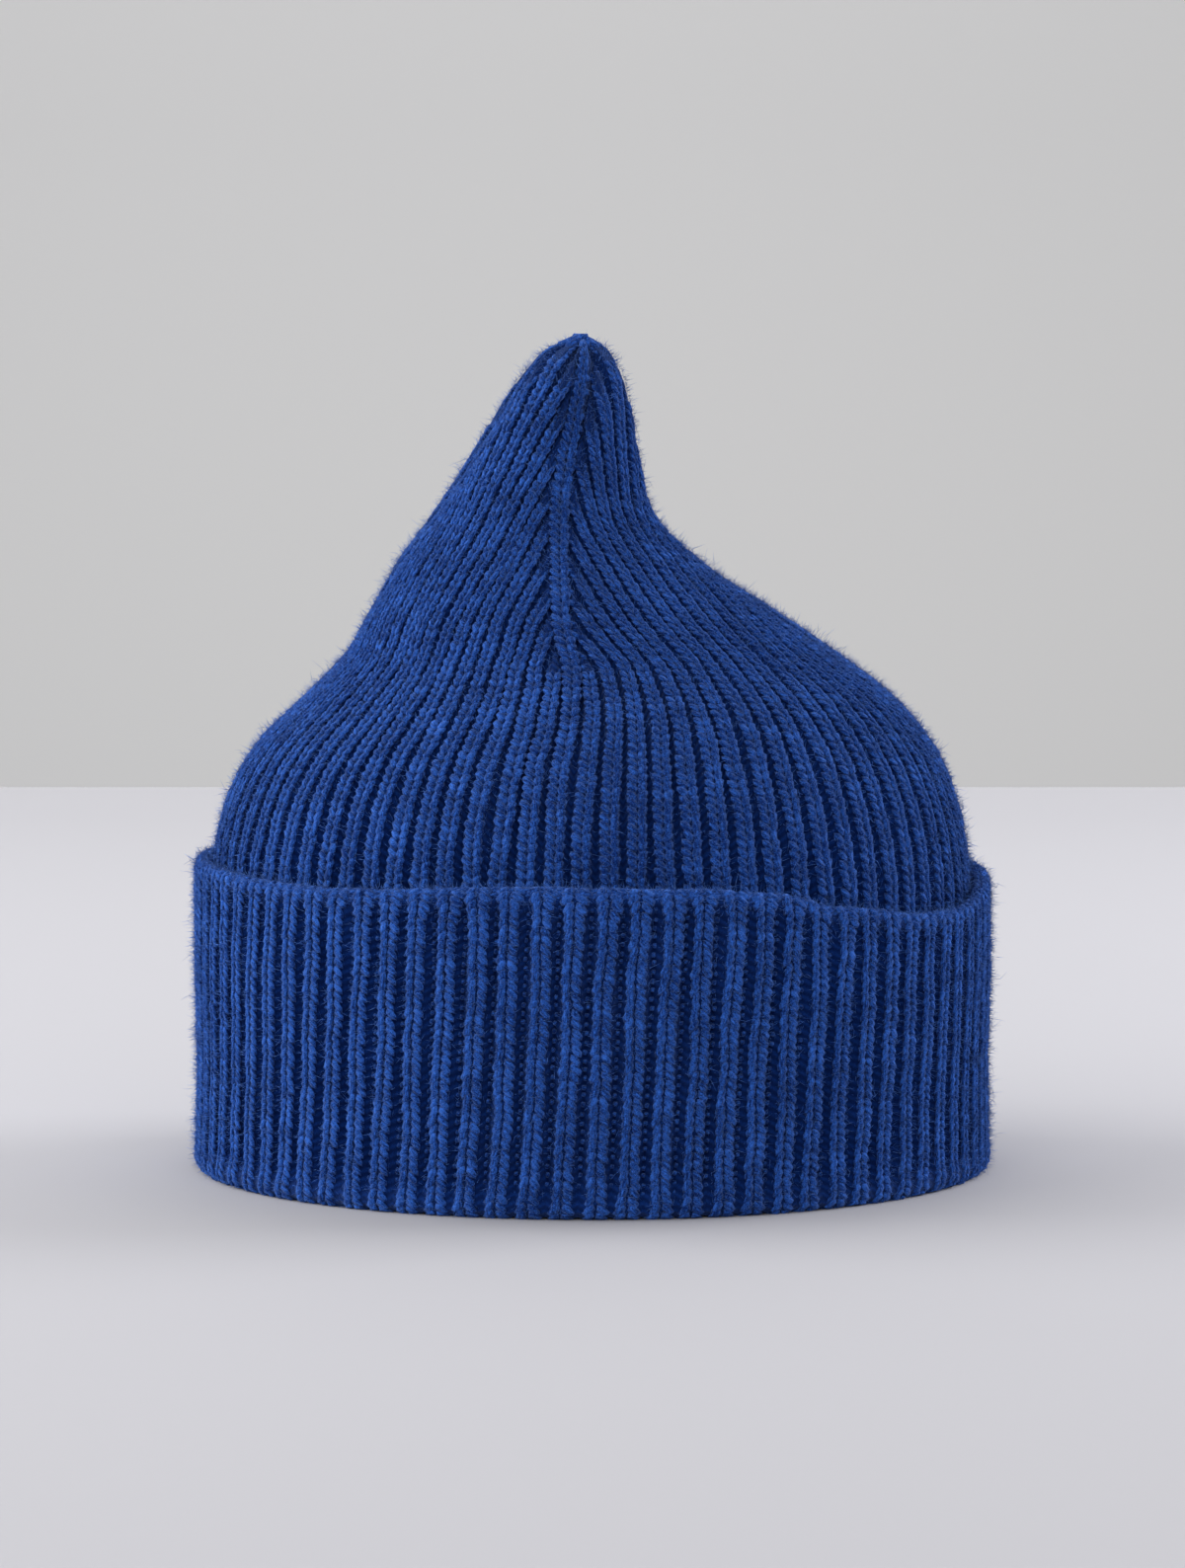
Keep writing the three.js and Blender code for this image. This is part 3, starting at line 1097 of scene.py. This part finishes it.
@dataclass
class Cuff:
    """The turned-up cuff: its backing cloth, its ribs in four quarters, its cast-on edge and its fibres."""

    shape: CuffShape = field(default_factory=CuffShape)
    core: float = 0.66
    valley: float = 3.1
    edge: float = 0.2
    # the purl bumps down in the valleys are painted darker than the ribs, as painted shade in the valleys
    purl_painted_shade: tuple[float, float] = (0.18, 0.18)
    hairs: int = 4500
    down: int = 38000

    def build(self, yarn: bpy.types.Material, face: bpy.types.Material, hair: bpy.types.Material) -> None:
        """Builds and dresses every piece of the cuff.

        Args:
            yarn: the finish of the stitches.
            face: the finish of the backing cloth, painted darker than the yarn as shade.
            hair: the finish of loose fibres, painted paler than the yarn as light.
        """
        self.cloth = self.shape.cloth()
        highest = self.cloth.points[:, :, 2].mean(axis=1)
        self.rim = float(np.argmax(highest)) / (len(highest) - 1)
        dress(self._backing(), face, "cuff")
        for quarter, name in enumerate(QUARTERS):
            dress(self._quarter(quarter, f"cuff_ribs_{name}"), yarn, "cuff")
        dress(self._edge(), yarn, "cuff")
        over = self.rim + 0.02
        dress(Nap.LONG.grow("cuff_fibres", self.cloth, self._crest, self.hairs, (0.12, over), 47), hair, "cuff")
        dress(Nap.DOWN.grow("cuff_down", self.cloth, self._crest, self.down, (0.1, over), 48), hair, "cuff")

    def _backing(self) -> bpy.types.Object:
        """Makes the cloth behind the stitches: outside, rim and inside face down to the fold.

        Returns:
            The new object.
        """
        columns = 6 * RIBS
        around = np.arange(columns) / columns
        rings, wraps = [], []
        for climb in [*np.linspace(0, 0.2, 12), *np.linspace(0.24, 0.76, 12), *np.linspace(0.775, 1, 17)]:
            rise = np.full(columns, climb)
            crest = self._crest(around, rise)
            inner = float(smooth_step(self.rim - 0.01, self.rim + 0.03, np.array(climb)))
            under = 0.12 + 0.88 * float(smooth_step(0.12, 0.2, np.array(climb)))
            depth = (1 - inner) * under * (self.valley - crest * (self.valley - self.core)) + inner * 0.9 * crest
            rings.append(self.cloth.at(around, rise, -depth))
            wraps.append(np.stack([around * RIBS, rise * self.cloth.length / self.shape.course], 1))
        inside = self.cloth.at(around, np.ones(columns), 0)
        for drop in np.linspace(0.25, 1, 8):
            ring = inside.copy()
            ring[:, 2] = inside[:, 2] * (1 - drop) + (FOLD_HEIGHT + SEAT_GAP) * MM * drop
            rings.append(ring)
            wraps.append(wraps[-1])
        rings.append(rings[0])
        wraps.append(wraps[0])
        return loft("cuff_cloth", np.stack(rings), np.stack(wraps))

    def _crest(self, around: np.ndarray, climb: np.ndarray) -> np.ndarray:
        """How far up a rib's flank each place lies; the ribs broaden and merge under the rim.

        Args:
            around: shares of the way round.
            climb: shares of the way up.

        Returns:
            1 along the middle of a rib and 0 in the valleys.
        """
        merged = smooth_step(7.0, 2.8, (self.rim - climb) * self.cloth.length)
        return smooth_step(0.5 + 0.6 * merged, 0.17 + 0.25 * merged, np.abs((RIBS * around) % 1 - 0.5))

    def _quarter(self, quarter: int, name: str) -> bpy.types.Object:
        """Knits a quarter of the cuff, from the fold's inner lip up to the edge.

        Args:
            quarter: its number, counted from the front line towards +X.
            name: the piece's name.

        Returns:
            The new object.
        """
        work = Knitting(self.cloth, 200 + quarter)
        turned, purl = Stitch.TURNED.form, Stitch.PURL.form
        step = self.shape.course / self.cloth.length
        courses = np.arange(step * 0.5, self.rim - self.edge / self.cloth.length, step)
        for place in range(RIBS_PER_GORE):
            key = quarter * RIBS_PER_GORE + place
            phase = work.chance.uniform(0, TAU, 3)
            shift = work.chance.uniform(-0.5, 0.5) * step

            def sway(climb: np.ndarray, phase: np.ndarray = phase) -> np.ndarray:
                """How the rib wanders from its line, in millimetres."""
                slow, brisk = 0.22 * np.sin(9 * climb + phase[0]), 0.14 * np.sin(21 * climb + phase[1])
                return slow + brisk + 0.07 * np.sin(47 * climb + phase[2])

            def path(climb: np.ndarray, key: int = key, sway: Callable = sway) -> np.ndarray:
                """The rib's way round, with its sway."""
                line = np.full_like(climb, (key + 0.5) / RIBS)
                return line + sway(climb) / self.cloth.girth(line, climb)

            def valley(climb: np.ndarray, key: int = key) -> np.ndarray:
                """The way round half a rib further on."""
                return np.full_like(climb, (key + 1.0) / RIBS)

            below = (self.rim - courses - shift) * self.cloth.length
            foot = smooth_step(0.16, 0.11, courses + shift)
            spread = 1 + 0.42 * smooth_step(7.5, 2.5, below) + 0.25 * foot
            work.lay(turned, path, courses + shift, spread, 0.45 * foot)
            # no purl shows in the top 5 mm, where the ribs merge
            work.lay(purl, valley, (courses + shift)[below > 5.0], slack=1.6, tone=self.purl_painted_shade)
        return work.make(name)

    def _edge(self) -> bpy.types.Object:
        """Knits the cast-on edge: a smooth roll of loops along the rim, and the stitches of the inside face.

        Returns:
            The new object.
        """
        work = Knitting(self.cloth, 77)
        loop = Stitch.EDGE.form
        total = 4 * RIBS
        for drop, lift, shift in EDGE_ROWS:
            climb = np.array([self.rim - drop / self.cloth.length])
            # the edge is painted darker than the ribs, its top and inner rows darkest, as painted shade over the
            # light that catches the rim's top
            tone = (0.3 if drop > 1 else 0.0, 0.12)
            for key in range(total):
                share = (key + shift) / total
                work.lay(loop, lambda rise, share=share: np.full_like(rise, share), climb, 1.0, lift, 1.6, tone)
        step = self.shape.course / self.cloth.length
        for key in range(RIBS):
            courses = np.arange(self.rim + 3.6 / self.cloth.length, 0.995, step)
            work.lay(Stitch.TURNED.form, lambda rise, key=key: np.full_like(rise, (key + 1.0) / RIBS), courses, 0.9)
        return work.make("cuff_edge")


@dataclass(frozen=True)
class PlainPaint:
    """Matt emulsion on board: no gloss and no grain that shows."""

    name: str
    colour: str

    def make(self) -> bpy.types.Material:
        """Builds the finish.

        Returns:
            The material.
        """
        material = bare_material(self.name)
        tree = material.node_tree
        paint = {"Base Color": linear(self.colour), "Roughness": 0.8, "Specular IOR Level": 0.2}
        shader = add_node(tree, "ShaderNodeBsdfPrincipled", paint)
        add_node(tree, "ShaderNodeOutputMaterial", None, {"Surface": shader.outputs["BSDF"]})
        return material


@dataclass
class Studio:
    """The pale table and wall, the soft lights and the camera, in metres, degrees and millimetres of lens."""

    camera_distance: float = 1.737
    camera_height: float = 0.238
    tilt: float = 4.945
    lens: float = 174.4
    table_edge: float = 1.0
    wall_gap: float = 1.45
    board_reach: float = 4.0

    def build(self) -> None:
        """Sets the camera, the lights and the surroundings."""
        self._camera()
        self._surroundings()
        self._light("window", (-1.3, 0.35, 0.7), 1.2, 17, "#FFFFFF")
        self._light("window_front", (-1.2, -0.6, 0.5), 1.0, 6.5, "#FFFFFF")
        self._light("rear_fill", (1.2, 0.5, 0.7), 0.9, 14.5, "#F8F9FF")
        self._light("top", (0.0, 0.9, 1.35), 1.8, 12.5, "#FFFFFF")
        self._light("front", (0.0, -1.6, 1.1), 1.6, 12.8, "#FFFFFF")
        self._light("wall_wash", (0.0, 1.2, 1.0), 1.0, 3.0, "#FFFFFF", (0.0, 2.45, 0.6))
        world = bpy.data.worlds.new("studio")
        bpy.context.scene.world = world
        world.use_nodes = True
        background = world.node_tree.nodes["Background"]
        background.inputs["Color"].default_value = linear("#F4F5F8")
        background.inputs["Strength"].default_value = 0.31
        bpy.context.scene.view_settings.view_transform = "Standard"

    def _camera(self) -> None:
        """A long lens a little higher than the hat's point, looking slightly down."""
        data = bpy.data.cameras.new("camera")
        data.sensor_width = 36
        data.lens = self.lens
        data.clip_end = 20
        camera = bpy.data.objects.new("camera", data)
        camera.location = (0, -self.camera_distance, self.camera_height)
        camera.rotation_euler = (math.radians(90 - self.tilt), 0, 0)
        bpy.context.collection.objects.link(camera)
        bpy.context.scene.camera = camera

    def _light(
        self,
        name: str,
        place: tuple[float, float, float],
        size: float,
        power: float,
        colour: str,
        aim: tuple[float, float, float] = (0.0, 0.0, 0.09),
    ) -> None:
        """Adds a square soft box.

        Args:
            name: the light's name.
            place: where it hangs, in metres.
            size: its side in metres.
            power: its power in watts.
            colour: its colour.
            aim: the point that it faces; the middle of the hat unless given.
        """
        data = bpy.data.lights.new(name, "AREA")
        data.size = size
        data.energy = power
        data.color = linear(colour)[:3]
        light = bpy.data.objects.new(name, data)
        light.location = place
        light.rotation_euler = (Vector(aim) - Vector(place)).to_track_quat("-Z", "Y").to_euler()
        bpy.context.collection.objects.link(light)

    def _surroundings(self) -> None:
        """Sets a pale table and a white wall well behind it, which its distance from the lights turns grey."""
        table = self._board("table", "table_emulsion", "#B9B8BC")
        table.data.transform(Matrix.Translation((0, self.table_edge - self.board_reach, 0)))
        wall = self._board("wall", "wall_emulsion", "#F6F5F4")
        back = Matrix.Translation((0, self.table_edge + self.wall_gap, 0))
        wall.data.transform(back @ Matrix.Rotation(math.pi / 2, 4, "X"))

    def _board(self, name: str, paint: str, colour: str) -> bpy.types.Object:
        """A flat painted board around the origin.

        Args:
            name: the board's name.
            paint: its finish.
            colour: the finish's colour.

        Returns:
            The board.
        """
        sheet = bmesh.new()
        bmesh.ops.create_grid(sheet, x_segments=8, y_segments=8, size=self.board_reach)
        bmesh.ops.recalc_face_normals(sheet, faces=sheet.faces)
        board = place_form(name, sheet)
        board.data.materials.append(PlainPaint(paint, colour).make())
        return board


def main() -> None:
    """Builds the hat and its surroundings."""
    logging.basicConfig(level=logging.INFO, format="%(message)s")
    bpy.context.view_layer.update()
    yarn = LambswoolYarn("blue_lambswool_yarn", Pattern.STREAKS).make()
    # the backing cloth, seen in the valleys and between the stitches, is painted far darker than the yarn as painted
    # shade
    face = LambswoolYarn("blue_lambswool_face_painted_shade", Pattern.CHEVRONS, deep="#081E50", fair="#12347A").make()
    # loose fibres: the yarn's blue, painted paler to stand in for light shining through the fuzz at the edges
    hair = LambswoolYarn("blue_lambswool_fibre_painted_glow", Pattern.CHEVRONS, deep="#2E64D0", fair="#6C9CF4").make()
    Crown().build(yarn, face, hair)
    Cuff().build(yarn, face, hair)
    Studio().build()


if __name__ == "__main__":
    main()
